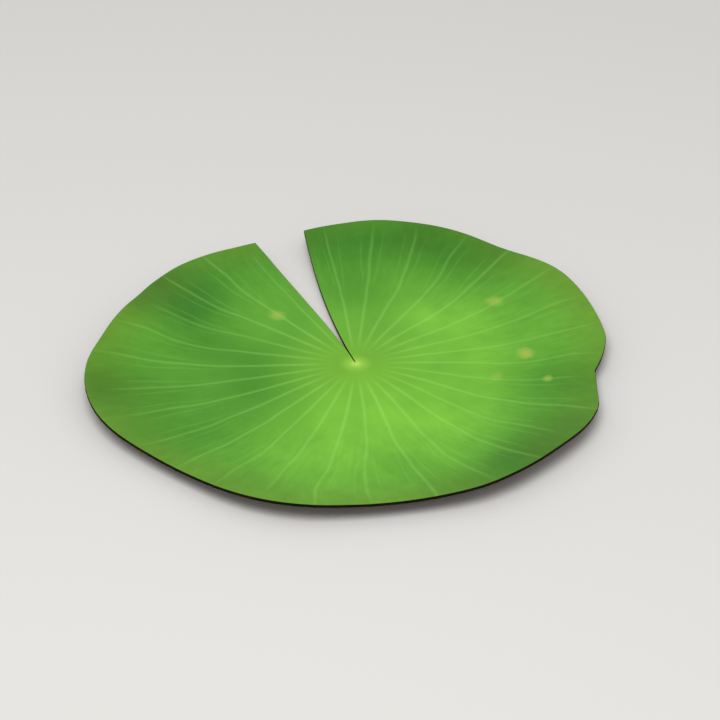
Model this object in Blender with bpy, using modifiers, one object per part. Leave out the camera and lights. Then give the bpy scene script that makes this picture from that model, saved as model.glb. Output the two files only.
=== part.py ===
"""A water lily pad, cut from its stalk and lying face up: one closed solid in metres, +Z up, for Blender 4.5.

The pad is one leaf. Its blade is a sheet whose columns run along the veins and whose rows are rings round
the stalk. Solidify gives the sheet the thickness of the blade, of the ribs under the veins and of the stalk's
stub, which is cut off level with the ribs, so the pad rests on both. The origin is the middle of the pad's
footprint on the surface that it lies on, and the cleft points along +Y.
"""

import math

import bmesh
import bpy

# Lengths are in metres. Angles are in degrees round the stalk, anticlockwise from +X as seen from above.
STALK_AT = (0.0034, 0.0022, 0.0)
STALK_RADIUS = 0.0035
BLADE_THICKNESS = 0.0016
RIB_DEPTH = 0.0020
RIB_DEPTH_AT_RIM = 0.00015
RIB_FOOT = (0.0016, 0.0008)  # half the rib's width where it leaves the blade, at the stalk and at the rim
RIB_CREST = (0.0008, 0.0003)  # half the width of its flat crest, at the stalk and at the rim
RIB_SHARE = (0.28, 0.14)  # the most that half the foot and half the crest take of the way to the next vein
HUB_RADIUS = 0.017  # the blade thickens inside this radius, up to the stalk

# The rim, as the angle and radius of the points that it runs through. It bends sharply from one run to the
# next.
RIM_RUNS = (
    (
        (96, 0.1189),
        (102, 0.1192),
        (110, 0.1210),
        (118, 0.1216),
        (128, 0.1200),
        (138, 0.1184),
        (155, 0.1226),
        (166, 0.1285),
        (176, 0.1312),
        (187, 0.1306),
        (203, 0.1254),
        (213, 0.1246),
        (224, 0.1265),
        (233, 0.1275),
        (242, 0.1264),
        (251, 0.1237),
        (263, 0.1224),
        (280, 0.1247),
        (297, 0.1230),
        (312, 0.1232),
        (320, 0.1217),
    ),
    ((320, 0.1217), (327, 0.1173), (335, 0.1143)),
    ((335, 0.1143), (341, 0.1180), (349, 0.1222)),
    (
        (349, 0.1222),
        (360, 0.1238),
        (370, 0.1264),
        (379, 0.1290),
        (386, 0.1286),
        (396, 0.1259),
        (406, 0.1263),
        (416, 0.1252),
        (428, 0.1252),
        (436, 0.1225),
        (444, 0.1200),
    ),
)
MEAN_RADIUS = 0.124  # rings near the stalk are shares of this circle, and the others take the rim's form

# How far the rim stands above the ribs' resting plane, by angle, and the share of the way out at which the
# blade starts to rise.
RIM_LIFT = (
    (95, 0.0055),
    (121, 0.0070),
    (146, 0.0110),
    (166, 0.0100),
    (186, 0.0080),
    (211, 0.0065),
    (236, 0.0085),
    (261, 0.0070),
    (286, 0.0095),
    (311, 0.0085),
    (331, 0.0055),
    (341, 0.0065),
    (371, 0.0070),
    (394, 0.0055),
    (416, 0.0090),
    (445, 0.0070),
)
LIFT_START = 0.35

# The cleft: its line, how far its left and its right side are from that line at the rim, and how these grow
# with the distance from the stalk.
CLEFT_ANGLE = 90
CLEFT_SIDES = (0.0142, 0.0131)
CLEFT_GROWTH = 1.6

# Each vein, from the left lobe round to the right one: its angle at the stalk, and how far it has swung from
# that angle at each place in SWING_AT. A place is a share of the way out.
SWING_AT = (0.45, 0.65, 0.85, 1)
VEINS = (
    (99, 0, 0.5, 0.5, 0.5),
    (112, -0.5, -0.5, -1, -1),
    (123.5, -0.5, 1.5, 1.5, 1),
    (136.5, -0.5, 1.5, 1, 1),
    (148.5, 1, 2.5, 0, 0.5),
    (162, 0.5, 0.5, -0.5, 0),
    (174.5, 0, 1, 1, 1),
    (187, 0, 0, -0.5, -0.5),
    (197.5, 1.5, 2, 1.5, 1),
    (210, 0.5, 0.5, 0, 0),
    (221.5, 0, 0, -1.5, -1),
    (233, -0.5, -1, -1.5, -1.5),
    (245.5, -1, -2, -3.5, -3),
    (257, -1, -2.5, -3.5, -2.5),
    (268.5, -1.5, -1.5, -0.5, -0.5),
    (281, -2, -2.5, -1, 0.5),
    (294, -2.5, -2.5, -1.5, 0),
    (307, -3, -3.5, -1.5, -1.5),
    (319, -2.5, -2.5, -1, -1),
    (331.5, -1.5, -1, 1, 1),
    (344.5, -1.5, -3, -1.5, -2),
    (356, -1, -1.5, -1, -1),
    (368, -1.5, -1, -0.5, -0.5),
    (380.5, -2, -1.5, -0.5, 0),
    (393.5, -3, -2, -0.5, -0.5),
    (404.5, -1.5, -1.5, 0, 0),
    (416, -1.5, -1.5, -0.5, 0.5),
    (426.5, 0, 0, 0.5, 0),
    (437.5, 0, 0.5, 1.5, 1.5),
)
VEIN_PITCH = 12  # degrees between two veins, for the ribs' widths
SWING_START = 0.2  # the veins are straight up to here
BETWEEN_VEINS = (1 / 3, 2 / 3)  # where the blade between two veins has columns of its own

# The rings of the sheet, as shares of the way out. The first ring past the pole is the stalk's edge.
RINGS = (0, 0.028, 0.055, 0.09, 0.14, 0.21, 0.29, 0.38, 0.48, 0.58, 0.68, 0.78, 0.87, 0.94, 1)

LEAF_GREEN = (0.155, 0.420, 0.060, 1)
LEAF_UNDERSIDE = (0.130, 0.055, 0.060, 1)
LEAF_ROUGHNESS = 0.42


def clear_scene():
    for thing in list(bpy.data.objects):
        bpy.data.objects.remove(thing, do_unlink=True)


def mix(start, end, share):
    return start + (end - start) * share


def ease(share):
    """0 to 1 with level ends."""
    share = min(max(share, 0), 1)
    return share * share * (3 - 2 * share)


def smooth_through(points, place):
    """The height at place of a smooth curve through points, which are (place, height) in rising order."""
    last = len(points) - 1
    after = next((i for i in range(1, last) if place < points[i][0]), last)
    ends = []
    for i in (after - 1, after):
        before, behind = points[max(i - 1, 0)], points[min(i + 1, last)]
        slope = (behind[1] - before[1]) / (behind[0] - before[0])
        ends.append((points[i][0], points[i][1], slope))
    (x0, y0, slope0), (x1, y1, slope1) = ends
    gap = x1 - x0
    t = min(max((place - x0) / gap, 0), 1)
    bend0 = gap * slope0 - (y1 - y0)
    bend1 = (y1 - y0) - gap * slope1
    return mix(y0, y1, t) + t * (1 - t) * ((1 - t) * bend0 + t * bend1)


def rim_radius(angle):
    run = next((run for run in RIM_RUNS if angle <= run[-1][0]), RIM_RUNS[-1])
    return smooth_through(run, angle)


def cleft_angles(radius):
    """The angles of the cleft's left and right sides at this distance from the stalk."""
    radius = max(radius, STALK_RADIUS)
    out = (radius - STALK_RADIUS) / (MEAN_RADIUS - STALK_RADIUS)
    left, right = (math.degrees(math.asin(width * out**CLEFT_GROWTH / radius)) for width in CLEFT_SIDES)
    return CLEFT_ANGLE + left, CLEFT_ANGLE + 360 - right


def vein_angle(vein, out):
    """The angle of the vein with this number at this share of the way out."""
    start, *swings = VEINS[vein - 1]
    points = [(0, 0), (SWING_START, 0), *zip(SWING_AT, swings)]
    return start + smooth_through(points, out)


def column_angle(column, out):
    """The angle of a column. Veins have whole numbers from 1, and the cleft's sides are the columns before
    and after them."""
    left_side, right_side = cleft_angles(out * MEAN_RADIUS)
    below = math.floor(column)
    sides = []
    for number in (below, below + 1):
        if number <= 0:
            sides.append(left_side)
        elif number > len(VEINS):
            sides.append(right_side)
        else:
            sides.append(vein_angle(number, out))
    return mix(*sides, column - below)


def ring_radius(angle, out):
    """The distance from the stalk at this share of the way out, along this angle."""
    return out * mix(MEAN_RADIUS, rim_radius(angle), ease(out))


def lift(angle, out):
    """How far the ribs' crests stand above the resting plane."""
    rise = max(out - LIFT_START, 0) / (1 - LIFT_START)
    return smooth_through(RIM_LIFT, angle) * rise**2


def rib_depth(out):
    return mix(RIB_DEPTH, RIB_DEPTH_AT_RIM, out)


def rib_columns(vein, out):
    """The four columns of a vein's rib: foot, crest, crest, foot."""
    pitch = max(out * MEAN_RADIUS, STALK_RADIUS) * math.radians(VEIN_PITCH)
    foot = min(mix(*RIB_FOOT, out) / pitch, RIB_SHARE[0])
    crest = min(mix(*RIB_CREST, out) / pitch, RIB_SHARE[1])
    return vein - foot, vein - crest, vein + crest, vein + foot


def columns_at(out):
    """The columns across one ring, as (column, whether it is a rib's crest)."""
    columns = [(0, False), (BETWEEN_VEINS[0], False)]
    for vein in range(1, len(VEINS) + 1):
        left_foot, left_crest, right_crest, right_foot = rib_columns(vein, out)
        columns += [(left_foot, False), (left_crest, True), (right_crest, True), (right_foot, False)]
        columns += [(vein + share, False) for share in BETWEEN_VEINS]
    columns.append((len(VEINS) + 1, False))
    return columns


def thickness_at(out, is_crest):
    """The leaf's thickness: all of it at the stalk and under a rib's crest, else the blade, thicker near
    the stalk."""
    if is_crest or out <= RINGS[1]:
        return BLADE_THICKNESS + rib_depth(out)
    hub = 1 - ease((out * MEAN_RADIUS - STALK_RADIUS) / (HUB_RADIUS - STALK_RADIUS))
    return BLADE_THICKNESS + rib_depth(out) * hub


def shape_sheet(sheet, full_thickness):
    """Moves a flat grid's vertices to the leaf's upper surface and weighs each by the thickness below it."""
    rings, across = len(RINGS) - 1, len(columns_at(1)) - 1
    bmesh.ops.create_grid(sheet, x_segments=rings, y_segments=across, size=1)
    weights = sheet.verts.layers.deform.verify()
    for vertex in sheet.verts:
        out = RINGS[round((vertex.co.x + 1) / 2 * rings)]
        column, is_crest = columns_at(out)[round((vertex.co.y + 1) / 2 * across)]
        angle = column_angle(column, out)
        radius = ring_radius(angle, out)
        turn = math.radians(angle)
        top = BLADE_THICKNESS + rib_depth(out) + lift(angle, out)
        vertex.co = (radius * math.cos(turn), radius * math.sin(turn), top)
        vertex[weights][0] = thickness_at(out, is_crest) / full_thickness
    bmesh.ops.remove_doubles(sheet, verts=sheet.verts, dist=0.000002)


def leaf_material(name, colour):
    material = bpy.data.materials.new(name)
    material.use_nodes = True
    surface = material.node_tree.nodes["Principled BSDF"]
    surface.inputs["Base Color"].default_value = colour
    surface.inputs["Roughness"].default_value = LEAF_ROUGHNESS
    surface.inputs["Metallic"].default_value = 0
    material.diffuse_color = colour
    return material


def make_pad(collection):
    full_thickness = BLADE_THICKNESS + RIB_DEPTH
    sheet = bmesh.new()
    shape_sheet(sheet, full_thickness)
    mesh = bpy.data.meshes.new("lily_pad")
    sheet.to_mesh(mesh)
    sheet.free()
    mesh.materials.append(leaf_material("waxy_leaf_top", LEAF_GREEN))
    mesh.materials.append(leaf_material("leaf_underside", LEAF_UNDERSIDE))
    pad = bpy.data.objects.new("lily_pad", mesh)
    pad.location = STALK_AT
    collection.objects.link(pad)
    thickness = pad.vertex_groups.new(name="thickness")
    body = pad.modifiers.new("blade_ribs_and_stalk", "SOLIDIFY")
    body.thickness = full_thickness
    body.offset = -1
    body.vertex_group = thickness.name
    body.material_offset = 1
    body.material_offset_rim = 1
    return pad


def main():
    clear_scene()
    collection = bpy.data.collections.new("water_lily_pad")
    bpy.context.scene.collection.children.link(collection)
    make_pad(collection)


if __name__ == "__main__":
    main()
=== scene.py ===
"""The looks of a water lily pad that lies face up on a pale floor, in Blender 4.5.

The pad is one leaf, cut from its stalk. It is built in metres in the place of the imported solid, from the same
rim, veins and cleft. Its mesh is a closed shell: an upper sheet and an under sheet, joined by a rounded edge.
The columns of both sheets run along the veins, and their rows are rings round the stalk.
"""

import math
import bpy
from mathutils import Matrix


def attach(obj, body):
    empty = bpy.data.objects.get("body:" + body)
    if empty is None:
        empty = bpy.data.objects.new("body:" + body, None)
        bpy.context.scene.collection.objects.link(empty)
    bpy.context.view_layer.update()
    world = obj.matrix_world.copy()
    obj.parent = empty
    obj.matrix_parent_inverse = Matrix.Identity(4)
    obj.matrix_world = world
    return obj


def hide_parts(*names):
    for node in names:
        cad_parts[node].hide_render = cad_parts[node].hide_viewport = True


bl_info = {
    "name": "Water lily pad",
    "version": (1, 0, 0),
    "blender": (4, 5, 0),
    "location": "View3D > Sidebar > Lily Pad",
    "description": "Builds a water lily pad, the end of its cut stalk and a plain stage",
    "category": "Object",
}

import bmesh
import bpy
from mathutils import Matrix, Vector, noise

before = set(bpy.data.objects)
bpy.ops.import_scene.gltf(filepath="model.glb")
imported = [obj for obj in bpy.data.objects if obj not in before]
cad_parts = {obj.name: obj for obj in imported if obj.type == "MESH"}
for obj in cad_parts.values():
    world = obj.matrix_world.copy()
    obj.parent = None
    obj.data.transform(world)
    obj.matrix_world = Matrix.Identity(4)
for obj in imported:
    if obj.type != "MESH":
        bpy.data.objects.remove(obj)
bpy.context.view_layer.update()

MM = 0.001

# The form of the leaf, with the same values as the solid. Lengths are in metres, and angles are in degrees
# round the stalk, anticlockwise from +X as seen from above.
STALK_AT = (0.0034, 0.0022, 0.0)
STALK_RADIUS = 0.0035
BLADE_THICKNESS = 0.0016
RIB_DEPTH = 0.0020
RIB_DEPTH_AT_RIM = 0.00015
RIB_FOOT = (0.0016, 0.0008)  # half the rib's width where it leaves the blade, at the stalk and at the rim
RIB_SHARE = 0.28  # the most that half a rib's foot takes of the way to the next vein
HUB_RADIUS = 0.017  # the blade thickens inside this radius, up to the stalk
# The rim, as the angle and radius of the points that it runs through. Between two runs it bends sharply.
RIM_RUNS = (
    (
        (96, 0.1189),
        (102, 0.1192),
        (110, 0.1210),
        (118, 0.1216),
        (128, 0.1200),
        (138, 0.1184),
        (155, 0.1226),
        (166, 0.1285),
        (176, 0.1312),
        (187, 0.1306),
        (203, 0.1254),
        (213, 0.1246),
        (224, 0.1265),
        (233, 0.1275),
        (242, 0.1264),
        (251, 0.1237),
        (263, 0.1224),
        (280, 0.1247),
        (297, 0.1230),
        (312, 0.1232),
        (320, 0.1217),
    ),
    ((320, 0.1217), (327, 0.1173), (335, 0.1143)),
    ((335, 0.1143), (341, 0.1180), (349, 0.1222)),
    (
        (349, 0.1222),
        (360, 0.1238),
        (370, 0.1264),
        (379, 0.1290),
        (386, 0.1286),
        (396, 0.1259),
        (406, 0.1263),
        (416, 0.1252),
        (428, 0.1252),
        (436, 0.1225),
        (444, 0.1200),
    ),
)
MEAN_RADIUS = 0.124  # rings near the stalk are shares of this circle, and the others take the rim's form
# How far the rim stands above the ribs' resting plane, by angle, and the share of the way out at which the
# blade starts to rise.
RIM_LIFT = (
    (95, 0.0055),
    (121, 0.0070),
    (146, 0.0110),
    (166, 0.0100),
    (186, 0.0080),
    (211, 0.0065),
    (236, 0.0085),
    (261, 0.0070),
    (286, 0.0095),
    (311, 0.0085),
    (331, 0.0055),
    (341, 0.0065),
    (371, 0.0070),
    (394, 0.0055),
    (416, 0.0090),
    (445, 0.0070),
)
LIFT_START = 0.35
# The cleft: its line, how far its left and its right side are from that line at the rim, and how these grow
# with the distance from the stalk.
CLEFT_ANGLE = 90
CLEFT_SIDES = (0.0142, 0.0131)
CLEFT_GROWTH = 1.6
# Each vein, from the left lobe round to the right one: its angle at the stalk, and how far it has swung from
# that angle at each place in SWING_AT. A place is a share of the way out.
SWING_AT = (0.45, 0.65, 0.85, 1)
VEINS = (
    (99, 0, 0.5, 0.5, 0.5),
    (112, -0.5, -0.5, -1, -1),
    (123.5, -0.5, 1.5, 1.5, 1),
    (136.5, -0.5, 1.5, 1, 1),
    (148.5, 1, 2.5, 0, 0.5),
    (162, 0.5, 0.5, -0.5, 0),
    (174.5, 0, 1, 1, 1),
    (187, 0, 0, -0.5, -0.5),
    (197.5, 1.5, 2, 1.5, 1),
    (210, 0.5, 0.5, 0, 0),
    (221.5, 0, 0, -1.5, -1),
    (233, -0.5, -1, -1.5, -1.5),
    (245.5, -1, -2, -3.5, -3),
    (257, -1, -2.5, -3.5, -2.5),
    (268.5, -1.5, -1.5, -0.5, -0.5),
    (281, -2, -2.5, -1, 0.5),
    (294, -2.5, -2.5, -1.5, 0),
    (307, -3, -3.5, -1.5, -1.5),
    (319, -2.5, -2.5, -1, -1),
    (331.5, -1.5, -1, 1, 1),
    (344.5, -1.5, -3, -1.5, -2),
    (356, -1, -1.5, -1, -1),
    (368, -1.5, -1, -0.5, -0.5),
    (380.5, -2, -1.5, -0.5, 0),
    (393.5, -3, -2, -0.5, -0.5),
    (404.5, -1.5, -1.5, 0, 0),
    (416, -1.5, -1.5, -0.5, 0.5),
    (426.5, 0, 0, 0.5, 0),
    (437.5, 0, 0.5, 1.5, 1.5),
)
VEIN_PITCH = 12  # degrees between two veins, for widths that are shares of the way to the next vein
SWING_START = 0.2  # the veins are straight up to here

# Finer forms that only the looks have. A run is a pair of places on the way out, where something starts and
# where it is complete.
SLIT_START = 0.0006  # the lobes part here on the upper face, and at the stalk's skin on the underside
SLIT_HALF_WIDTH = 0.0003
SLIT_OPENS_OVER = 0.0015
EDGE_ROUNDS_OVER = 0.015  # the cleft's edges are square at the stalk and rounded from here outwards
# How far round each rounded edge its points are, from the flat face to the upright side.
EDGE_STEPS = 3
EDGE_TURNS = [math.pi / 2 * step / EDGE_STEPS for step in range(EDGE_STEPS + 1)]
STUB_RECESS = 0.0012  # the under sheet stays this far above the stalk's cut
RIB_ROUNDNESS = 1.2  # the power of the cosine that rounds a rib
RELIEF_STARTS = (0.1, 0.4)  # where the relief of the upper face comes up, and where it goes down again
RELIEF_ENDS = (0.9, 1)
SIDE_VEIN_RUN = (0.50, 0.80)
SIDE_VEIN_SHARE = (0.16, 0.24)  # side veins, as shares of the way to the next vein, at the ends of their run
SIDE_RIB_HALF_WIDTH = 0.0006
SIDE_RIB_SHARE = 0.03  # the most that half a side rib takes of the way to the next vein
RIPPLE_LENGTH = 0.028
RIPPLE_RUN = (0.45, 0.80)
WANDER = 0.0011  # how far a vein wanders from its smooth line, and over what length
WANDER_LENGTH = 0.018
WANDER_RUN = (0.3, 0.6)
WANDER_APART = 7.31  # how far apart the veins read their noise, so that no two wander alike

# The cut end of the stalk, with the air canals of a water lily's: four large ones and a ring of small ones.
CUT_SIDES = 48
CUT_ROUND = 0.0002
STALK_DEPTH = 0.0015  # how far the piece reaches up into the leaf
CANAL_DEPTH = 0.0011
CANAL_OVAL = 0.88  # a canal's width across, as a share of its width outwards
LARGE_CANALS = (4, 0.00145, 0.00078, 16)  # how many, how far from the middle, their radius and their sides
SMALL_CANALS = (14, 0.0027, 0.00024, 8)

# Places across the sheet: over each vein's rib, as shares of half its foot, and over each side vein, as
# shares of half its width. The blade between them has evenly spaced places of its own.
RIB_PLACES = (-1, -0.65, -0.3, 0, 0.3, 0.65, 1)
SIDE_PLACES = (-1, 0, 1)
BETWEEN_PLACES = 3
# Rings, as shares of the way out: the slit's start, two in its groove, the stalk's skin, then evenly spaced.
STALK_SHARE = STALK_RADIUS / MEAN_RADIUS
INNER_RINGS = (0, SLIT_START / MEAN_RADIUS, 0.0135, 0.0200, STALK_SHARE)
OUTER_RINGS = 80
SAME_PLACE = MM / 100  # radii and shares of the way out that differ by less are the same
SAME_POINT = MM / 500  # points of the shell that are closer are merged

# The leaf mesh's materials, in order, and the names of its UV map and its colour attribute.
UPPER_FACE, UNDERSIDE, LEAF_EDGE = range(3)
VEIN_MAP = "vein_map"
PATCHES = "patches"

# Soft patches on the upper face. Each is x and y from the stalk and its reach, all in millimetres,
# and its strength.
LIGHT_PATCHES = (
    (54, 12, 22, 0.8),
    (60, 32, 13, 0.12),
    (44, 34, 12, 0.2),
    (4, -54, 24, 0.7),
    (-36, -70, 22, 0.6),
    (46, -72, 10, 0.2),
    (22, -88, 15, 0.5),
    (-14, -26, 18, 0.65),
    (44, -38, 20, 0.4),
    (106, -4, 12, 0.2),
    (6, 44, 10, 0.4),
    (46, 58, 14, 0.12),
    (-82, 38, 12, 0.1),
    (-38, 38, 9, 0.1),
    (70, -24, 9, 0.2),
)
DARK_PATCHES = (
    (-62, 72, 13, 0.9),
    (-52, 94, 16, 0.6),
    (-68, 42, 14, 0.5),
    (-46, 22, 14, 0.4),
    (-52, -6, 14, 0.5),
    (-98, 0, 16, 0.4),
    (-102, 36, 14, 0.2),
    (-92, -38, 14, 0.5),
    (-72, -26, 10, 0.2),
    (24, 108, 20, 0.9),
    (22, 62, 14, 0.35),
    (50, 92, 12, 0.2),
    (66, 98, 14, 0.65),
    (82, 74, 17, 0.8),
    (90, 44, 10, 0.1),
    (84, -48, 15, 0.6),
    (66, -88, 15, 0.45),
    (40, -110, 16, 0.9),
    (-6, -85, 12, 0.3),
    (-24, 104, 14, 0.3),
    (14, 20, 8, 0.1),
    (-28, 8, 11, 0.15),
    (-84, 4, 18, 0.13),
    (26, -18, 9, 0.12),
    (4, -104, 9, 0.08),
    (82, 4, 12, 0.1),
)
OLIVE_PATCHES = (
    (-122, 12, 14, 0.85),
    (-112, -18, 12, 0.3),
    (-118, -38, 11, 0.25),
    (-70, 96, 11, 0.8),
    (-86, 80, 11, 0.6),
    (4, -122, 12, 0.3),
    (-80, -84, 14, 0.22),
    (72, 98, 14, 0.45),
    (100, 72, 12, 0.5),
    (102, -58, 12, 0.35),
    (78, -90, 15, 0.6),
    (54, -110, 12, 0.85),
    (20, -120, 10, 0.35),
    (10, 118, 12, 0.5),
)
# Where the veins fade out before they reach the rim.
VEINLESS_PATCHES = (
    (-121, 36, 12, 0.7),
    (-130, 6, 14, 1.0),
    (-124, -26, 12, 0.8),
)
# Blemishes, each as x and y from the stalk, its half length outwards and half width, all in millimetres, and
# its strength.
BLEMISHES = (
    (-22.5, 54.5, 4.7, 4.3, 0.7),
    (82.9, 30.3, 4.5, 4.5, 0.72),
    (80.0, -18.6, 4.4, 5.0, 0.97),
    (60, -32.3, 3.1, 4.5, 0.38),
    (81.5, -43.5, 2.5, 3.0, 0.66),
)
BLEMISH_RAGGED = 0.12  # how far a blemish's edge strays, as a share of its size
BLEMISH_FADE = (0.1, 1.35)  # where it starts to fade and where it ends, as shares of its size

# How wide one mark of each pattern is, in millimetres.
CLOUD = 22
BLEMISH_EDGE = 3
WAX_GRAIN = 1.1  # a real leaf's cells are about 0.05 mm wide, and are drawn this coarse so that they show
UNDERSIDE_MOTTLE = 11
UNDERSIDE_GRAIN = 1.4  # coarser than the real cells, for the same reason
EDGE_MOTTLE = 6
CUT_STAIN = 0.7
AIR_CELL = 0.35  # real ones are about 0.1 mm across, and are drawn coarser so that they show
STREAKS_ACROSS = 5  # streaks between two veins
STREAKS_ALONG = 12  # and from the stalk to the rim

# How deep the finest forms are, as a bump's strength and its depth in millimetres.
WAX_BUMP = (0.25, 0.06)
UNDERSIDE_BUMP = (0.4, 0.1)
CELL_BUMP = (0.4, 0.08)

# Noise mostly lies within WHOLE_NOISE, and reading only CORE_NOISE gives it more contrast.
WHOLE_NOISE = (0.3, 0.7)
CORE_NOISE = (0.35, 0.65)
CLOUD_SHARE = (0.8, 1.2)  # what clouds multiply the strength of the patches by
CLOUD_SHADE = (-0.05, 0.05)  # and how far they darken and lighten the face
STREAK_SHADE = (-0.5, 0.5)
WAX_ROUGHNESS = (0.46, 0.54)
UNDERSIDE_GREENS = (0, 0.6)
EDGE_REDS = (0, 0.7)
STAIN_STRAYS = (-0.0004, 0.0004)  # metres

# Changes on the way out: two places, and the strength at each.
NEAR_STALK = (0.04, 0.42, 0.75, 0)
NEAR_RIM = (0.78, 1, 0, 1)
STALK_GLOW = (0, 0.075, 0.8, 0)
STALK_CORE = (0, 0.03, 0.6, 0)
STREAK_CONTRAST = (0.3, 0.7, 0, 0.13)
VEIN_CONTRAST = (0.25, 0.75, 0.19, 0.132)
UNDERSIDE_HUB = (0.03, 0.3, 0.8, 0)
# RIM_EDGE: where the edge turns to the rim's nearly black colour, which is partly painted shade.
RIM_EDGE = (0.93, 0.99, 0, 1)

# The lines of the veins. Each vein starts to fade at a place of its own, and has a strength of its own.
VEIN_LINE = (0.15, 1.35)  # half widths in millimetres, at full strength and in all
VEIN_STARTS = (0.07, 0.24)  # where the veins come into sight
VEIN_FADES = (0.82, 0.93)  # where the first and the last of them start to fade
VEIN_FADE_LENGTH = 0.17
VEIN_STRENGTHS = (0.75, 1)
SIDE_LINE = (0.1, 0.9)
SIDE_LINE_STARTS = (0.45, 0.73)  # where the side veins come into sight, and where they fade out
SIDE_LINE_ENDS = (0.78, 0.98)
SIDE_STRENGTHS = (0.5, 1)
SIDE_CONTRAST = (0, 0.5, 0.43, 0.6)  # by how dark the patch is: a side vein's share of a vein's contrast
RIB_CONTRAST = 0.8  # on the underside
SIDE_RIB_CONTRAST = 0.4

# The stalk's cut, by radius and by distance from a cell's wall.
CUT_BROWNS = (0.0018, 0.0034, 0.1, 0.85)
CUT_SKIN = (0.0003, 0.0002)  # how far in from the outline the skin starts, and where it is full
CELL_WALLS = (0, 0.12, 0.35, 0)

# The stage. The camera looks at the top of the stalk, from the side and height of the photograph.
CAMERA_SIDE = -19  # degrees round the pad, 0 being behind -Y
CAMERA_HEIGHT = 33
CAMERA_DISTANCE = 1.440
CAMERA_SEES = 20  # how far, in metres
CAMERA_LENS = 150  # millimetres, as the sensor's width
SENSOR_WIDTH = 36
IMAGE_WIDTH = 720
STALK_PIXEL = (356.0, 363.5)  # where the stalk's top falls in the image
FLOOR_HALF_SIZE = 4.0
KEY_AT = (-0.35, -0.55, 1.35)
KEY_SIZE = 1.1


def linear(code):
    """An sRGB hex colour as linear red, green, blue and alpha."""
    channels = [int(code[i : i + 2], 16) / 255 for i in (1, 3, 5)]
    return (*(c / 12.92 if c <= 0.04045 else ((c + 0.055) / 1.055) ** 2.4 for c in channels), 1.0)


def mix(start, end, share):
    return start + (end - start) * share


def ease(share):
    """0 to 1 with level ends."""
    share = min(max(share, 0), 1)
    return share * share * (3 - 2 * share)


def ease_over(run, place):
    """0 before a run, 1 after it and smooth between."""
    start, end = run
    return ease((place - start) / (end - start))


def smooth_through(points, place):
    """The height at place of a smooth curve through points, which are (place, height) in rising order."""
    last = len(points) - 1
    after = next((i for i in range(1, last) if place < points[i][0]), last)
    ends = []
    for i in (after - 1, after):
        before, behind = points[max(i - 1, 0)], points[min(i + 1, last)]
        slope = (behind[1] - before[1]) / (behind[0] - before[0])
        ends.append((points[i][0], points[i][1], slope))
    (x0, y0, slope0), (x1, y1, slope1) = ends
    gap = x1 - x0
    t = min(max((place - x0) / gap, 0), 1)
    bend0 = gap * slope0 - (y1 - y0)
    bend1 = (y1 - y0) - gap * slope1
    return mix(y0, y1, t) + t * (1 - t) * ((1 - t) * bend0 + t * bend1)


def rim_radius(angle):
    run = next((run for run in RIM_RUNS if angle <= run[-1][0]), RIM_RUNS[-1])
    return smooth_through(run, angle)


def lift(angle, out):
    """How far the ribs' crests stand above the resting plane."""
    rise = max(out - LIFT_START, 0) / (1 - LIFT_START)
    return smooth_through(RIM_LIFT, angle) * rise**2


def rib_depth(out):
    return mix(RIB_DEPTH, RIB_DEPTH_AT_RIM, out)


def vein_angle(vein, out):
    """The angle of the vein with this number, counted from 1, at this share of the way out."""
    start, *swings = VEINS[vein - 1]
    points = [(0, 0), (SWING_START, 0), *zip(SWING_AT, swings)]
    radius = max(out * MEAN_RADIUS, STALK_RADIUS)
    strays = noise.noise((radius / WANDER_LENGTH, vein * WANDER_APART, 0.5))
    wander = WANDER * strays * ease_over(WANDER_RUN, out)
    return start + smooth_through(points, out) + math.degrees(wander / radius)


def side_gap(radius, is_under, side_at_rim):
    """How far a lobe's side is from the cleft's line, this far from the stalk."""
    starts_at = STALK_RADIUS if is_under else SLIT_START
    if radius <= starts_at + SAME_PLACE:
        return 0
    out = max(radius - STALK_RADIUS, 0) / (MEAN_RADIUS - STALK_RADIUS)
    slit = SLIT_HALF_WIDTH * ease((radius - SLIT_START) / SLIT_OPENS_OVER)
    return max(slit, side_at_rim * out**CLEFT_GROWTH)


def columns_at(out):
    """The columns across one ring, from the cleft's left side round to its right side.

    Each is (column, place over a rib or None, place over a side vein or None).
    """
    pitch = max(out * MEAN_RADIUS, STALK_RADIUS) * math.radians(VEIN_PITCH)
    foot = min(mix(*RIB_FOOT, out) / pitch, RIB_SHARE)
    half_side = min(SIDE_RIB_HALF_WIDTH / pitch, SIDE_RIB_SHARE)
    side = max(mix(*SIDE_VEIN_SHARE, ease_over(SIDE_VEIN_RUN, out)), foot + 2 * half_side)
    inner, outer = side + half_side, 1 - side - half_side
    columns = []
    last = len(VEINS)
    for vein in range(last + 1):
        if vein == 0:
            columns.append((0, None, None))
        else:
            columns += [(vein + place * foot, place, None) for place in RIB_PLACES]
        columns += [(vein + side + place * half_side, None, place) for place in SIDE_PLACES]
        for i in range(1, BETWEEN_PLACES + 1):
            columns.append((vein + mix(inner, outer, i / (BETWEEN_PLACES + 1)), None, None))
        columns += [(vein + 1 - side + place * half_side, None, place) for place in SIDE_PLACES]
    columns.append((last + 1, None, None))
    return columns


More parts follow.
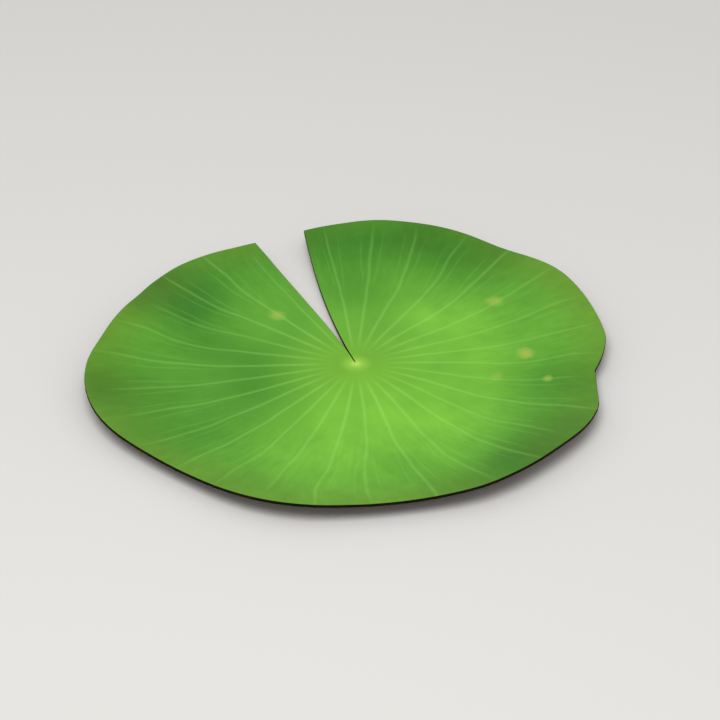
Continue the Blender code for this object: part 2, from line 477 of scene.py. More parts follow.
class LeafSheet:
    """Works out where the points of the leaf's two sheets and of its edge are."""

    def __init__(self, shape):
        self.shape = shape
        even = [mix(STALK_SHARE, 1, i / OUTER_RINGS) for i in range(1, OUTER_RINGS + 1)]
        self.rings = [*INNER_RINGS, *even]
        self.columns = [columns_at(out) for out in self.rings]
        self.last_ring = len(self.rings) - 1
        self.last_column = len(self.columns[0]) - 1

    def edge_round(self, radius):
        return self.shape.edge_round * ease((radius - STALK_RADIUS) / EDGE_ROUNDS_OVER)

    def angle(self, column, out, is_under):
        """The angle of a column.

        Veins have whole numbers from 1, and the cleft's sides are 0 and one past the last vein.
        """
        radius = max(out * MEAN_RADIUS, SLIT_START)
        gaps = [side_gap(radius, is_under, side) + self.edge_round(radius) for side in CLEFT_SIDES]
        left_side, right_side = (math.degrees(math.asin(gap / radius)) for gap in gaps)
        below = min(math.floor(column), len(VEINS))
        sides = []
        for number in (below, below + 1):
            if number == 0:
                sides.append(CLEFT_ANGLE + left_side)
            elif number > len(VEINS):
                sides.append(CLEFT_ANGLE + 360 - right_side)
            else:
                sides.append(vein_angle(number, out))
        return mix(*sides, column - below)

    def thickness(self, out, over_rib, over_side):
        """The leaf's thickness: the blade, thicker near the stalk, and the rounded ribs under it."""
        depth = rib_depth(out)
        if out < STALK_SHARE - SAME_PLACE:
            return BLADE_THICKNESS + depth - STUB_RECESS
        hub = 1 - ease_over((STALK_RADIUS, HUB_RADIUS), out * MEAN_RADIUS)
        if over_rib is not None:
            rib = math.cos(over_rib * math.pi / 2) ** RIB_ROUNDNESS if abs(over_rib) < 1 else 0
            return BLADE_THICKNESS + depth * max(hub, rib)
        if over_side != 0:
            return BLADE_THICKNESS + depth * hub
        grown = ease_over(SIDE_VEIN_RUN, out) * (1 - ease_over((SIDE_VEIN_RUN[1], 1), out))
        return BLADE_THICKNESS + depth * hub + self.shape.side_rib_depth * grown

    def relief(self, out, column, over_rib):
        """How far the upper face stands off its smooth form: raised veins, and a swell between them."""
        outer = ease_over(RELIEF_STARTS, out) * (1 - ease_over(RELIEF_ENDS, out))
        raised = 0
        if over_rib is not None and abs(over_rib) < 1:
            raised = self.shape.vein_relief * math.cos(over_rib * math.pi / 2) ** 2
        between = math.sin(math.pi * (column % 1)) ** 2
        return outer * (raised + self.shape.quilting * between)

    def ripple(self, point, out):
        """Gentle ripples of the whole blade towards the rim."""
        return self.shape.ripple * noise.noise(point / RIPPLE_LENGTH) * ease_over(RIPPLE_RUN, out)

    def point(self, ring, place, is_under):
        out = self.rings[ring]
        column, over_rib, over_side = self.columns[ring][place]
        angle = self.angle(column, out, is_under)
        inset_rim = rim_radius(angle) - self.shape.edge_round
        radius = out * mix(MEAN_RADIUS, inset_rim, ease(out))
        turn = math.radians(angle)
        flat = Vector((radius * math.cos(turn), radius * math.sin(turn), 0))
        height = BLADE_THICKNESS + rib_depth(out) + lift(angle, out) + self.ripple(flat, out)
        if is_under:
            height -= self.thickness(out, over_rib, over_side)
        else:
            height += self.relief(out, column, over_rib)
        return flat + Vector((0, 0, height))

    def edge_path(self):
        """Each spot's ring and place: out along the left lobe's edge, round the rim and back in."""
        left = [(ring, 0) for ring in range(1, self.last_ring)]
        rim = [(self.last_ring, place) for place in range(self.last_column + 1)]
        right = [(ring, self.last_column) for ring in range(self.last_ring - 1, 0, -1)]
        return left + rim + right

    def edge_points(self):
        """Each spot's points down the rounded edge, from the upper sheet to the under sheet."""
        path = self.edge_path()
        upper = [self.point(*spot, False) for spot in path]
        down = {}
        for i, (ring, place) in enumerate(path):
            along = upper[min(i + 1, len(path) - 1)] - upper[max(i - 1, 0)]
            outward = Vector((along.y, -along.x, 0)).normalized()
            radius = self.rings[ring] * MEAN_RADIUS
            size = self.edge_round(radius)
            top, bottom = upper[i], self.point(ring, place, True)
            if radius < STALK_RADIUS - SAME_PLACE:
                # Over the stalk the slit is a groove, whose floor slopes down to the stalk's skin.
                groove = (radius - SLIT_START) / (STALK_RADIUS - SLIT_START)
                bottom = Vector((0, radius, mix(top.z, 0, groove)))
            down[ring, place] = [
                corner + outward * size * math.sin(turn) + Vector((0, 0, side * size * (1 - math.cos(turn))))
                for corner, side, turns in ((top, -1, EDGE_TURNS), (bottom, 1, reversed(EDGE_TURNS)))
                for turn in turns
            ]
        return down


def extrude(piece, edges):
    """Extrudes a chain of edges where it is, and returns its new vertices and its new edges."""
    made = bmesh.ops.extrude_edge_only(piece, edges=edges)["geom"]
    fresh = [part for part in made if isinstance(part, bmesh.types.BMVert)]
    ends = set(fresh)
    return fresh, [part for part in made if isinstance(part, bmesh.types.BMEdge) and set(part.verts) <= ends]


def patch_strength(patches, point):
    """How strongly a point of the leaf is in soft patches, from 0 to 1."""
    strength = 0
    for x, y, reach, most in patches:
        away = math.hypot(point.x / MM - x, point.y / MM - y) / reach
        strength += most * math.exp(-(away**2) / 2)
    return min(strength, 1)


def build_leaf_mesh(shape):
    """The leaf's closed shell, with its veins' map in UV and its patches in a colour attribute."""
    sheet = LeafSheet(shape)
    path = set(sheet.edge_path())
    leaf = bmesh.new()
    ring_of = leaf.verts.layers.int.new("ring")
    place_of = leaf.verts.layers.int.new("place")
    for is_under in (False, True):
        made = bmesh.ops.create_grid(leaf, x_segments=sheet.last_ring, y_segments=sheet.last_column, size=1)
        for vertex in made["verts"]:
            ring = round((vertex.co.x + 1) / 2 * sheet.last_ring)
            place = round((vertex.co.y + 1) / 2 * sheet.last_column)
            vertex[ring_of], vertex[place_of] = ring, place
            vertex.co = sheet.point(ring, place, is_under)
        for face in {face for vertex in made["verts"] for face in vertex.link_faces}:
            face.material_index = UNDERSIDE if is_under else UPPER_FACE
        if not is_under:
            on_path = {v for v in made["verts"] if (v[ring_of], v[place_of]) in path}
            edge = [e for e in leaf.edges if e.is_boundary and set(e.verts) <= on_path]
    down = sheet.edge_points()
    for step in range(1, 2 * len(EDGE_TURNS)):
        fresh, edge = extrude(leaf, edge)
        for vertex in fresh:
            vertex.co = down[vertex[ring_of], vertex[place_of]][step]
            for face in vertex.link_faces:
                face.material_index = UPPER_FACE if step == 1 else LEAF_EDGE
    write_vein_map(leaf, sheet, ring_of, place_of)
    bmesh.ops.remove_doubles(leaf, verts=leaf.verts, dist=SAME_POINT)
    bmesh.ops.recalc_face_normals(leaf, faces=leaf.faces)
    for face in leaf.faces:
        face.smooth = True
    write_patches(leaf)
    for name in ("ring", "place"):
        leaf.verts.layers.int.remove(leaf.verts.layers.int[name])
    bmesh.ops.translate(leaf, verts=leaf.verts, vec=STALK_AT)
    return leaf


def write_vein_map(leaf, sheet, ring_of, place_of):
    """UV: across it is the column as a share of them all, and up it is the share of the way out."""
    vein_map = leaf.loops.layers.uv.new(VEIN_MAP)
    for face in leaf.faces:
        for loop in face.loops:
            ring, place = loop.vert[ring_of], loop.vert[place_of]
            across = sheet.columns[ring][place][0] / (len(VEINS) + 1)
            loop[vein_map].uv = (across, sheet.rings[ring])


def write_patches(leaf):
    """Red is how light a patch is, green how dark and blue how olive. Alpha is how far the veins fade."""
    layer = leaf.verts.layers.float_color.new(PATCHES)
    kinds = (LIGHT_PATCHES, DARK_PATCHES, OLIVE_PATCHES, VEINLESS_PATCHES)
    for vertex in leaf.verts:
        vertex[layer] = [patch_strength(kind, vertex.co) for kind in kinds]


def add(tree, kind, inputs=(), **settings):
    """Adds a shader node with these settings and returns its first output in use.

    Inputs go by name, or in the order of the sockets in use. A socket is linked, and any other value is set.
    """
    node = tree.nodes.new("ShaderNode" + kind)
    for name, value in settings.items():
        setattr(node, name, value)
    in_use = [socket for socket in node.inputs if socket.enabled]
    pairs = inputs.items() if isinstance(inputs, dict) else enumerate(inputs)
    for place, value in pairs:
        socket = node.inputs[place] if isinstance(place, str) else in_use[place]
        if isinstance(value, bpy.types.NodeSocket):
            tree.links.new(value, socket)
        else:
            socket.default_value = value
    return next((socket for socket in node.outputs if socket.enabled), None)


def new_material(name, specular, roughness=0.5):
    """A material with only its Principled shader, the tree that it is in, and the shader's node."""
    material = bpy.data.materials.new(name)
    material.use_nodes = True
    tree = material.node_tree
    surface = tree.nodes["Principled BSDF"]
    surface.inputs["Roughness"].default_value = roughness
    surface.inputs["Specular IOR Level"].default_value = specular
    return material, tree, surface


def scale_of(size):
    """The scale that gives a pattern's marks this size in millimetres."""
    return 1 / (size * MM)


def place_on_leaf(tree):
    """Where a point of the leaf is: its column, and its share of the way out."""
    across = add(tree, "SeparateXYZ", (add(tree, "UVMap", uv_map=VEIN_MAP),))
    column = add(tree, "Math", (across, len(VEINS) + 1), operation="MULTIPLY")
    return column, across.node.outputs["Y"]


def vein_lines(tree, column, out):
    """Two masks: the pale lines of the veins, and the thinner ones of the side veins beside them."""
    number = add(tree, "Math", (column,), operation="ROUND")
    offset = add(tree, "Math", (column, number), operation="SUBTRACT")
    aside = add(tree, "Math", (offset,), operation="ABSOLUTE")
    pitch = add(tree, "Math", (out, MEAN_RADIUS / MM * math.radians(VEIN_PITCH)), operation="MULTIPLY")
    away = add(tree, "Math", (aside, pitch), operation="MULTIPLY")
    line = add(tree, "MapRange", (away, *VEIN_LINE, 1, 0), interpolation_type="SMOOTHSTEP")
    # The cleft's sides have whole numbers too, and are no veins.
    past_left = add(tree, "Math", (number, 0.5), operation="GREATER_THAN")
    before_right = add(tree, "Math", (number, len(VEINS) + 0.5), operation="LESS_THAN")
    shows = add(tree, "MapRange", (out, *VEIN_STARTS, 0, 1), interpolation_type="SMOOTHSTEP")
    own = add(tree, "TexWhiteNoise", {"W": number}, noise_dimensions="1D")
    fades_at = add(tree, "MapRange", (own, 0, 1, *VEIN_FADES))
    ends_at = add(tree, "Math", (fades_at, VEIN_FADE_LENGTH), operation="ADD")
    fades = add(tree, "MapRange", (out, fades_at, ends_at, 1, 0), interpolation_type="SMOOTHSTEP")
    strength = add(tree, "MapRange", (own, 0, 1, *VEIN_STRENGTHS))
    for share in (past_left, before_right, shows, fades, strength):
        line = add(tree, "Math", (line, share), operation="MULTIPLY")

    side_at = add(tree, "MapRange", (out, *SIDE_VEIN_RUN, *SIDE_VEIN_SHARE), interpolation_type="SMOOTHSTEP")
    beside = add(tree, "Math", (aside, side_at), operation="SUBTRACT")
    beside = add(tree, "Math", (beside,), operation="ABSOLUTE")
    beside = add(tree, "Math", (beside, pitch), operation="MULTIPLY")
    side_line = add(tree, "MapRange", (beside, *SIDE_LINE, 1, 0), interpolation_type="SMOOTHSTEP")
    shows = add(tree, "MapRange", (out, *SIDE_LINE_STARTS, 0, 1), interpolation_type="SMOOTHSTEP")
    fades = add(tree, "MapRange", (out, *SIDE_LINE_ENDS, 1, 0), interpolation_type="SMOOTHSTEP")
    below = add(tree, "Math", (column,), operation="FLOOR")
    own = add(tree, "TexWhiteNoise", {"W": below}, noise_dimensions="1D")
    strength = add(tree, "MapRange", (own, 0, 1, *SIDE_STRENGTHS))
    for share in (shows, fades, strength):
        side_line = add(tree, "Math", (side_line, share), operation="MULTIPLY")
    return line, side_line


def blemish_mask(tree, place):
    """Soft-edged spots where the leaf has yellowed."""
    ragged = add(tree, "TexNoise", {"Vector": place, "Scale": scale_of(BLEMISH_EDGE), "Detail": 2})
    ragged = add(tree, "MapRange", (ragged, *WHOLE_NOISE, -BLEMISH_RAGGED, BLEMISH_RAGGED))
    mask = None
    for x, y, long, wide, strength in BLEMISHES:
        spot_space = {
            "Vector": place,
            "Location": (STALK_AT[0] + x * MM, STALK_AT[1] + y * MM, 0),
            "Rotation": (0, 0, math.atan2(y, x)),
            "Scale": (long * MM, wide * MM, 1),
        }
        local = add(tree, "Mapping", spot_space, vector_type="TEXTURE")
        away = add(tree, "VectorMath", (local,), operation="LENGTH").node.outputs["Value"]
        away = add(tree, "Math", (away, ragged), operation="ADD")
        spot = add(tree, "MapRange", (away, *BLEMISH_FADE, strength, 0), interpolation_type="SMOOTHSTEP")
        mask = spot if mask is None else add(tree, "Math", (mask, spot), operation="MAXIMUM")
    return mask


def waxy_upper_face(colours):
    """A living leaf's upper face: a smooth waxy cuticle over green tissue.

    It gives an evenly coloured face with soft patches, paler veins and a satin gloss.
    """
    material, tree, surface = new_material("waxy_leaf_top", specular=0.25)
    place = add(tree, "TexCoord").node.outputs["Object"]
    column, out = place_on_leaf(tree)
    patches = add(tree, "Attribute", attribute_name=PATCHES).node.outputs["Color"]
    light = add(tree, "SeparateColor", (patches,))
    dark, olive = light.node.outputs["Green"], light.node.outputs["Blue"]
    cloud = add(tree, "TexNoise", {"Vector": place, "Scale": scale_of(CLOUD), "Detail": 2})
    cloud = add(tree, "MapRange", (cloud, *WHOLE_NOISE, *CLOUD_SHARE))
    light, dark, olive = (
        add(tree, "Math", (patch, cloud), operation="MULTIPLY", use_clamp=True)
        for patch in (light, dark, olive)
    )

    near_stalk = add(tree, "MapRange", (out, *NEAR_STALK), interpolation_type="SMOOTHSTEP")
    near_rim = add(tree, "MapRange", (out, *NEAR_RIM), interpolation_type="SMOOTHSTEP")
    colour = add(tree, "Mix", (near_rim, colours.blade, colours.rim), data_type="RGBA")
    for share, green in (
        (light, colours.light_patch),
        (dark, colours.dark_patch),
        (olive, colours.olive_patch),
        (near_stalk, colours.near_stalk),
    ):
        colour = add(tree, "Mix", (share, colour, green), data_type="RGBA")

    along = add(tree, "Math", (out, STREAKS_ALONG / STREAKS_ACROSS), operation="MULTIPLY")
    along = add(tree, "CombineXYZ", (column, along, 0))
    streaked = {"Vector": along, "Scale": STREAKS_ACROSS, "Detail": 2, "Roughness": 0.6}
    streak = add(tree, "TexNoise", streaked)
    streak = add(tree, "MapRange", (streak, *WHOLE_NOISE, *STREAK_SHADE))
    contrast = add(tree, "MapRange", (out, *STREAK_CONTRAST), interpolation_type="SMOOTHSTEP")
    cloudy = add(tree, "MapRange", (cloud, *CLOUD_SHARE, *CLOUD_SHADE))
    shade = add(tree, "Math", (streak, contrast, cloudy), operation="MULTIPLY_ADD")
    shade = add(tree, "Math", (shade, 1), operation="ADD")
    colour = add(tree, "VectorMath", {"Vector": colour, "Scale": shade}, operation="SCALE")

    line, side_line = vein_lines(tree, column, out)
    faint = add(tree, "MapRange", (dark, *SIDE_CONTRAST))
    side_line = add(tree, "Math", (side_line, faint), operation="MULTIPLY")
    line = add(tree, "Math", (line, side_line), operation="MAXIMUM")
    kept = add(tree, "Math", (1, patches.node.outputs["Alpha"]), operation="SUBTRACT")
    paler = add(tree, "MapRange", (out, *VEIN_CONTRAST))
    for share in (kept, paler):
        line = add(tree, "Math", (line, share), operation="MULTIPLY")
    glow = add(tree, "MapRange", (out, *STALK_GLOW), interpolation_type="SMOOTHSTEP")
    core = add(tree, "MapRange", (out, *STALK_CORE), interpolation_type="SMOOTHSTEP")
    spots = blemish_mask(tree, place)
    yellowed = add(tree, "Mix", (spots, colours.blemish_margin, colours.blemish), data_type="RGBA")
    for share, paint in (
        (line, colours.vein),
        (glow, colours.stalk_spot),
        (core, colours.stalk_core),
        (spots, yellowed),
    ):
        colour = add(tree, "Mix", (share, colour, paint), data_type="RGBA")
    tree.links.new(colour, surface.inputs["Base Color"])

    skin = add(tree, "TexNoise", {"Vector": place, "Scale": scale_of(WAX_GRAIN), "Detail": 3})
    wax = add(tree, "MapRange", (skin, *WHOLE_NOISE, *WAX_ROUGHNESS))
    tree.links.new(wax, surface.inputs["Roughness"])
    strength, depth = WAX_BUMP
    bump = add(tree, "Bump", {"Height": skin, "Strength": strength, "Distance": depth * MM})
    tree.links.new(bump, surface.inputs["Normal"])
    return material


def matt_underside(colours):
    """The leaf's underside: matt skin, dark with red pigment through which green shows, and paler ribs."""
    material, tree, surface = new_material("matt_leaf_underside", specular=0.3, roughness=0.62)
    place = add(tree, "TexCoord").node.outputs["Object"]
    column, out = place_on_leaf(tree)
    mottled = {"Vector": place, "Scale": scale_of(UNDERSIDE_MOTTLE), "Detail": 5, "Roughness": 0.6}
    mottle = add(tree, "TexNoise", mottled)
    mottle = add(tree, "MapRange", (mottle, *CORE_NOISE, *UNDERSIDE_GREENS))
    colour = add(tree, "Mix", (mottle, colours.underside, colours.underside_green), data_type="RGBA")
    line, side_line = vein_lines(tree, column, out)
    faint = add(tree, "Math", (side_line, SIDE_RIB_CONTRAST), operation="MULTIPLY")
    line = add(tree, "Math", (line, faint), operation="MAXIMUM")
    ribbed = add(tree, "Math", (line, RIB_CONTRAST), operation="MULTIPLY")
    hub = add(tree, "MapRange", (out, *UNDERSIDE_HUB), interpolation_type="SMOOTHSTEP")
    for share in (hub, ribbed):
        colour = add(tree, "Mix", (share, colour, colours.rib), data_type="RGBA")
    tree.links.new(colour, surface.inputs["Base Color"])
    skin = add(tree, "TexNoise", {"Vector": place, "Scale": scale_of(UNDERSIDE_GRAIN), "Detail": 4})
    strength, depth = UNDERSIDE_BUMP
    bump = add(tree, "Bump", {"Height": skin, "Strength": strength, "Distance": depth * MM})
    tree.links.new(bump, surface.inputs["Normal"])
    return material


def dark_leaf_edge_and_painted_shade(colours):
    """The leaf's edge: at the rim its own dark margin with red pigment, darkened with painted shade to nearly
    black, and olive brown in the cleft.
    """
    material, tree, surface = new_material("dark_leaf_edge_and_painted_shade", specular=0.05, roughness=0.7)
    place = add(tree, "TexCoord").node.outputs["Object"]
    uneven = add(tree, "TexNoise", {"Vector": place, "Scale": scale_of(EDGE_MOTTLE), "Detail": 3})
    uneven = add(tree, "MapRange", (uneven, *CORE_NOISE, *EDGE_REDS))
    out = add(tree, "SeparateXYZ", (add(tree, "UVMap", uv_map=VEIN_MAP),)).node.outputs["Y"]
    at_rim = add(tree, "MapRange", (out, *RIM_EDGE), interpolation_type="SMOOTHSTEP")
    # Towards the rim the edge turns nearly black: its own dark margin, deepened with painted shade of the side
    # face.
    colour = add(tree, "Mix", (at_rim, colours.cleft_edge, colours.edge), data_type="RGBA")
    colour = add(tree, "Mix", (uneven, colour, colours.edge_red), data_type="RGBA")
    tree.links.new(colour, surface.inputs["Base Color"])
    return material


def spongy_cut_stalk(colours):
    """The stalk's tissue where it was cut: moist pale pith full of air cells, inside a thin red-brown skin.

    It has dried brown at the cut's outline and round the canals.
    """
    material, tree, surface = new_material("spongy_cut_stalk", specular=0.4)
    place = add(tree, "TexCoord").node.outputs["Object"]
    from_middle = add(tree, "Mapping", {"Vector": place, "Location": STALK_AT}, vector_type="TEXTURE")
    flat = add(tree, "VectorMath", (from_middle, (1, 1, 0)), operation="MULTIPLY")
    away = add(tree, "VectorMath", (flat,), operation="LENGTH").node.outputs["Value"]
    stain = add(tree, "TexNoise", {"Vector": place, "Scale": scale_of(CUT_STAIN), "Detail": 3})
    stain = add(tree, "MapRange", (stain, *CORE_NOISE, *STAIN_STRAYS))
    worn = add(tree, "Math", (away, stain), operation="ADD")
    browned = add(tree, "MapRange", (worn, *CUT_BROWNS), interpolation_type="SMOOTHSTEP")
    skin = add(tree, "MapRange", (away, *(STALK_RADIUS - depth for depth in CUT_SKIN), 0, 1))
    spongy = {"Vector": place, "Scale": scale_of(AIR_CELL)}
    cells = add(tree, "TexVoronoi", spongy, feature="DISTANCE_TO_EDGE")
    walls = add(tree, "MapRange", (cells, *CELL_WALLS), interpolation_type="SMOOTHSTEP")
    colour = add(tree, "Mix", (browned, colours.pith, colours.cut_brown), data_type="RGBA")
    colour = add(tree, "Mix", (walls, colour, colours.cut_brown), data_type="RGBA")
    colour = add(tree, "Mix", (skin, colour, colours.underside), data_type="RGBA")
    tree.links.new(colour, surface.inputs["Base Color"])
    strength, depth = CELL_BUMP
    bump = add(tree, "Bump", {"Height": cells, "Strength": strength, "Distance": depth * MM})
    tree.links.new(bump, surface.inputs["Normal"])
    return material


def build_cut_stalk():
    """The end of the cut stalk: a plug set into the leaf, with a rounded skin and open air canals."""
    plug = bmesh.new()
    outline = add_circle(plug, CUT_SIDES, STALK_RADIUS - CUT_ROUND, Matrix())
    mouths = []
    for count, reach, radius, sides in (LARGE_CANALS, SMALL_CANALS):
        for i in range(count):
            turn = math.tau * (i + 0.5) / count
            at = Matrix.Translation((reach * math.cos(turn), reach * math.sin(turn), 0))
            at @= Matrix.Rotation(turn, 4, "Z") @ Matrix.Diagonal((1, CANAL_OVAL, 1, 1))
            mouths.append(add_circle(plug, sides, radius, at))
    every_edge = outline + [edge for mouth in mouths for edge in mouth]
    bmesh.ops.triangle_fill(plug, edges=every_edge, use_beauty=True, use_dissolve=False)
    for mouth in mouths:
        rim = raise_edges(plug, mouth, CANAL_DEPTH)
        bmesh.ops.holes_fill(plug, edges=rim, sides=0)
    rim = outline
    for before, turn in zip(EDGE_TURNS, EDGE_TURNS[1:]):
        was, now = (STALK_RADIUS - CUT_ROUND * (1 - math.sin(t)) for t in (before, turn))
        rim = raise_edges(plug, rim, CUT_ROUND * (math.cos(before) - math.cos(turn)), now / was)
    rim = raise_edges(plug, rim, STALK_DEPTH - CUT_ROUND)
    bmesh.ops.holes_fill(plug, edges=rim, sides=0)
    bmesh.ops.recalc_face_normals(plug, faces=plug.faces)
    bmesh.ops.translate(plug, verts=plug.verts, vec=STALK_AT)
    return plug


def add_circle(piece, sides, radius, at):
    """Adds a circle without a face, and returns its edges."""
    made = bmesh.ops.create_circle(piece, segments=sides, radius=radius, matrix=at)
    return list(dict.fromkeys(edge for vertex in made["verts"] for edge in vertex.link_edges))


def raise_edges(piece, edges, height, wider=1):
    """Extrudes a loop of edges up, made this many times wider round the origin. Returns its new edges."""
    fresh, edges = extrude(piece, edges)
    bmesh.ops.scale(piece, verts=fresh, vec=(wider, wider, 1))
    bmesh.ops.translate(piece, verts=fresh, vec=(0, 0, height))
    return edges


def length_property(name, description, default, least, most):
    return bpy.props.FloatProperty(
        name=name,
        description=description,
        default=default,
        min=least,
        max=most,
        subtype="DISTANCE",
        unit="LENGTH",
    )


class LilyPadShape(bpy.types.PropertyGroup):
    edge_round: length_property("Edge rounding", "Radius of the leaf's rounded edge", 0.0003, 0.0001, 0.0006)
    vein_relief: length_property(
        "Vein relief", "How far the veins stand up on the upper face", 0.0001, 0, 0.001
    )
    quilting: length_property("Quilting", "How far the blade swells between two veins", 0.00015, 0, 0.001)
    ripple: length_property("Ripple", "Height of the gentle ripples towards the rim", 0.0005, 0, 0.0015)
    side_rib_depth: length_property(
        "Side rib depth", "How deep the thin ribs beside each main rib are", 0.0003, 0, 0.001
    )


def colour_property(name, description, code):
    return bpy.props.FloatVectorProperty(
        name=name, description=description, default=linear(code), size=4, min=0, max=1, subtype="COLOR"
    )


class LilyPadColours(bpy.types.PropertyGroup):
    blade: colour_property("Blade", "Main green of the upper face", "#61aa2c")
    near_stalk: colour_property("Near the stalk", "Yellower green round the stalk", "#79b92e")
    stalk_spot: colour_property("Stalk spot", "Pale spot over the stalk", "#a6df4e")
    stalk_core: colour_property("Stalk core", "Palest middle of that spot", "#c8f272")
    rim: colour_property("Rim", "Green towards the rim", "#689e27")
    light_patch: colour_property("Light patches", "Brightest green", "#7fcb38")
    dark_patch: colour_property("Dark patches", "Darkest, bluish green", "#398219")
    olive_patch: colour_property("Olive patches", "Olive green by the rim", "#487c13")
    vein: colour_property("Veins", "Pale green of the veins", "#b8ff80")
    blemish: colour_property("Blemishes", "Yellow-brown of the spots", "#a7bf45")
    blemish_margin: colour_property("Blemish margin", "Paler green round the spots", "#a6d058")
    underside: colour_property("Underside", "Red-brown of the underside", "#4a2426")
    underside_green: colour_property("Underside mottle", "Green that shows through below", "#55502e")
    rib: colour_property("Ribs", "Ribs on the underside", "#8f7a4c")
    # The edge colour is the margin's own dark green, deepened with painted shade of the rim's side face.
    edge: colour_property("Edge", "Nearly black green of the rim's edge", "#10120a")
    edge_red: colour_property("Edge red", "Redder places on the edge", "#2a120c")
    cleft_edge: colour_property("Cleft edge", "Olive brown of the cleft's edges", "#453c1c")
    pith: colour_property("Pith", "Spongy inside of the cut stalk", "#b9b88a")
    cut_brown: colour_property("Cut brown", "Where the cut has dried brown", "#7c5a34")


class LilyPadStage(bpy.types.PropertyGroup):
    floor: colour_property("Floor", "Colour of the plain floor", "#e6e5e1")
    sky_strength: bpy.props.FloatProperty(
        name="Sky strength",
        description="Strength of the even light from all round",
        default=0.55,
        min=0,
        max=3,
    )
    key_power: bpy.props.FloatProperty(
        name="Key light",
        description="Power of the large soft light above the pad",
        default=11,
        min=0,
        max=100,
        subtype="POWER",
        unit="POWER",
    )


def new_object(context, name, shell, materials):
    """Makes a bmesh an object at the origin, with these materials, and returns it."""
    mesh = bpy.data.meshes.new(name)
    shell.to_mesh(mesh)
    shell.free()
    for material in materials:
        mesh.materials.append(material)
    piece = bpy.data.objects.new(name, mesh)
    context.scene.collection.objects.link(piece)
    return piece


class LILYPAD_OT_leaf(bpy.types.Operator):
    """Build the leaf with its veins, ribs, cleft and colours"""

    bl_idname = "lilypad.leaf"
    bl_label = "Leaf"

    def execute(self, context):
        shell = build_leaf_mesh(context.scene.lily_pad_shape)
        colours = context.scene.lily_pad_colours
        materials = (waxy_upper_face(colours), matt_underside(colours), dark_leaf_edge_and_painted_shade(colours))
        leaf = new_object(context, "lily_pad_leaf", shell, materials)
        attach(leaf, "root")
        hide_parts("lily_pad")
        return {"FINISHED"}


class LILYPAD_OT_cut_stalk(bpy.types.Operator):
    """Build the cut end of the stalk under the leaf"""

    bl_idname = "lilypad.cut_stalk"
    bl_label = "Cut stalk"

    def execute(self, context):
        materials = (spongy_cut_stalk(context.scene.lily_pad_colours),)
        stalk = new_object(context, "cut_stalk", build_cut_stalk(), materials)
        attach(stalk, "root")
        return {"FINISHED"}


class LILYPAD_OT_stage(bpy.types.Operator):
    """Add the floor, the lights and the camera"""

    bl_idname = "lilypad.stage"
    bl_label = "Stage"

    def execute(self, context):
        stage = context.scene.lily_pad_stage
        add_floor(context, stage)
        add_lights(context, stage)
        add_camera(context)
        context.scene.view_settings.view_transform = "Standard"
        return {"FINISHED"}


def add_floor(context, stage):
    """A plain pale matt sheet, as of paper, on which the pad's soft shadow shows."""
    sheet = bmesh.new()
    bmesh.ops.create_grid(sheet, x_segments=1, y_segments=1, size=FLOOR_HALF_SIZE)
    material, _, surface = new_material("plain_floor", specular=0.1, roughness=0.9)
    surface.inputs["Base Color"].default_value = stage.floor
    floor = new_object(context, "floor", sheet, (material,))


def add_lights(context, stage):
    world = bpy.data.worlds.new("soft_studio")
    world.use_nodes = True
    sky = world.node_tree.nodes["Background"]
    sky.inputs["Color"].default_value = (1, 1, 1, 1)
    sky.inputs["Strength"].default_value = stage.sky_strength
    context.scene.world = world
    lamp = bpy.data.lights.new("key_light", "AREA")
    lamp.shape = "DISK"
    lamp.size = KEY_SIZE
    lamp.energy = stage.key_power
    key = bpy.data.objects.new("key_light", lamp)
    key.location = KEY_AT
    key.rotation_euler = (-Vector(KEY_AT)).to_track_quat("-Z", "Y").to_euler()
    context.scene.collection.objects.link(key)


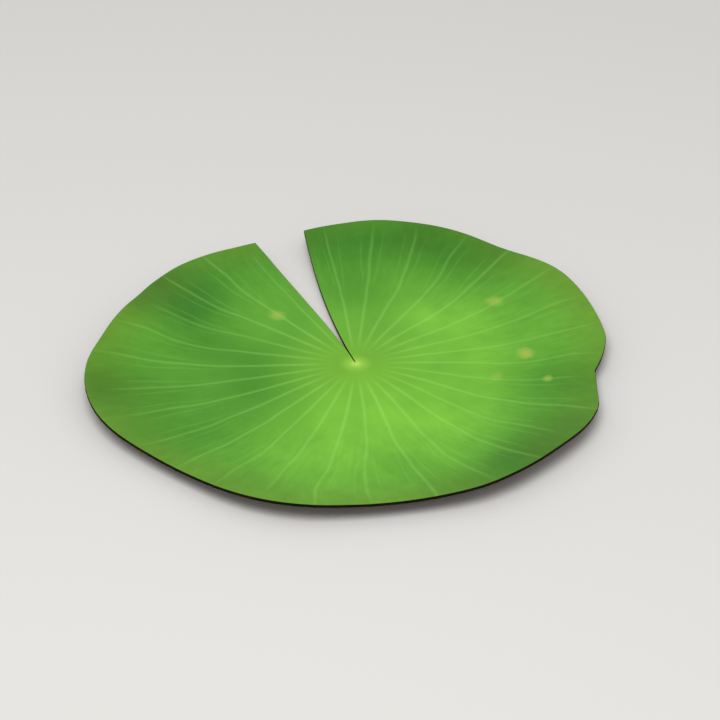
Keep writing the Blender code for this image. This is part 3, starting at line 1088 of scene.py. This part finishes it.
def add_camera(context):
    """The photograph's view: the stalk's top falls on its pixel, so camera and aim are moved together."""
    side, height = math.radians(CAMERA_SIDE), math.radians(CAMERA_HEIGHT)
    back = Vector((math.sin(side) * math.cos(height), -math.cos(side) * math.cos(height), math.sin(height)))
    right = Vector((math.cos(side), math.sin(side), 0))
    up = back.cross(right)
    metres_per_pixel = CAMERA_DISTANCE * SENSOR_WIDTH / CAMERA_LENS / IMAGE_WIDTH
    from_middle = [pixel - IMAGE_WIDTH / 2 for pixel in STALK_PIXEL]
    aim = Vector(STALK_AT) + Vector((0, 0, BLADE_THICKNESS + RIB_DEPTH))
    aim += (up * from_middle[1] - right * from_middle[0]) * metres_per_pixel
    lens = bpy.data.cameras.new("camera")
    lens.lens = CAMERA_LENS
    lens.sensor_width = SENSOR_WIDTH
    lens.clip_end = CAMERA_SEES
    camera = bpy.data.objects.new("camera", lens)
    turn = back.to_track_quat("Z", "Y").to_matrix().to_4x4()
    camera.matrix_world = Matrix.Translation(aim + back * CAMERA_DISTANCE) @ turn
    context.scene.collection.objects.link(camera)
    context.scene.camera = camera


class LILYPAD_PT_pad(bpy.types.Panel):
    bl_idname = "LILYPAD_PT_pad"
    bl_label = "Water lily pad"
    bl_space_type = "VIEW_3D"
    bl_region_type = "UI"
    bl_category = "Lily Pad"

    def draw(self, context):
        scene = context.scene
        for operator, settings in (
            (LILYPAD_OT_leaf, (scene.lily_pad_shape, scene.lily_pad_colours)),
            (LILYPAD_OT_cut_stalk, ()),
            (LILYPAD_OT_stage, (scene.lily_pad_stage,)),
        ):
            box = self.layout.box()
            box.operator(operator.bl_idname)
            for group in settings:
                for name in group.__annotations__:
                    box.prop(group, name)


SETTINGS = {
    "lily_pad_shape": LilyPadShape,
    "lily_pad_colours": LilyPadColours,
    "lily_pad_stage": LilyPadStage,
}
CLASSES = (*SETTINGS.values(), LILYPAD_OT_leaf, LILYPAD_OT_cut_stalk, LILYPAD_OT_stage, LILYPAD_PT_pad)


def register():
    for item in CLASSES:
        bpy.utils.register_class(item)
    for name, group in SETTINGS.items():
        setattr(bpy.types.Scene, name, bpy.props.PointerProperty(type=group))


def unregister():
    for name in SETTINGS:
        delattr(bpy.types.Scene, name)
    for item in reversed(CLASSES):
        bpy.utils.unregister_class(item)


def main():
    register()
    bpy.ops.lilypad.leaf()
    bpy.ops.lilypad.cut_stalk()
    bpy.ops.lilypad.stage()


if __name__ == "__main__":
    main()
